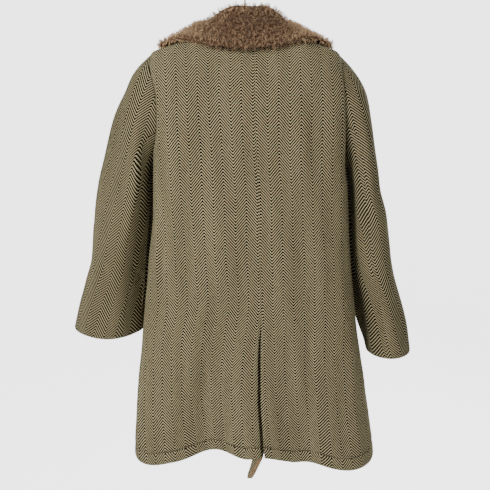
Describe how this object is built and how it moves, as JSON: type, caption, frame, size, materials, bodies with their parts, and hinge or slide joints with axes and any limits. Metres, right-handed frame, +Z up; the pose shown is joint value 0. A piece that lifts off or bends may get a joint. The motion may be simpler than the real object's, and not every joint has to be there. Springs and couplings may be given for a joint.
{
  "type": "double breasted coat on a hanger",
  "caption": "Woman's three-quarter double breasted coat in herringbone tweed with a wide curly fur collar, buttoned, hanging open at neck, cuffs and hem from a hanger.",
  "frame": {"origin": "inner top of the hanger's hook, where a rail carries it", "axes": "+Z up; -Y out of the coat's back, which the picture shows; +Y out of its front; +X towards the wearer's right"},
  "size_m": [0.779, 0.2109, 1.0867],
  "materials": {
    "tweed_back": "matte",
    "tweed_front": "matte",
    "tweed_sleeve": "matte",
    "collar_fur": "matte",
    "button_horn": "polished",
    "hanger_wood": "satin",
    "hook_steel": "satin"
  },
  "bodies": {
    "root": {"back_left": "tweed_back", "back_right": "tweed_back", "vent_underlap": "tweed_back", "front_left": "tweed_front", "front_right": "tweed_front", "upper_sleeve_left": "tweed_sleeve", "under_sleeve_left": "tweed_sleeve", "upper_sleeve_right": "tweed_sleeve", "under_sleeve_right": "tweed_sleeve", "fur_collar": "collar_fur", "button_1": "button_horn", "button_2": "button_horn", "button_3": "button_horn", "button_4": "button_horn", "button_5": "button_horn", "button_6": "button_horn", "hanger_bar": "hanger_wood", "hanger_hook": "hook_steel"}
  },
  "joints": []
}
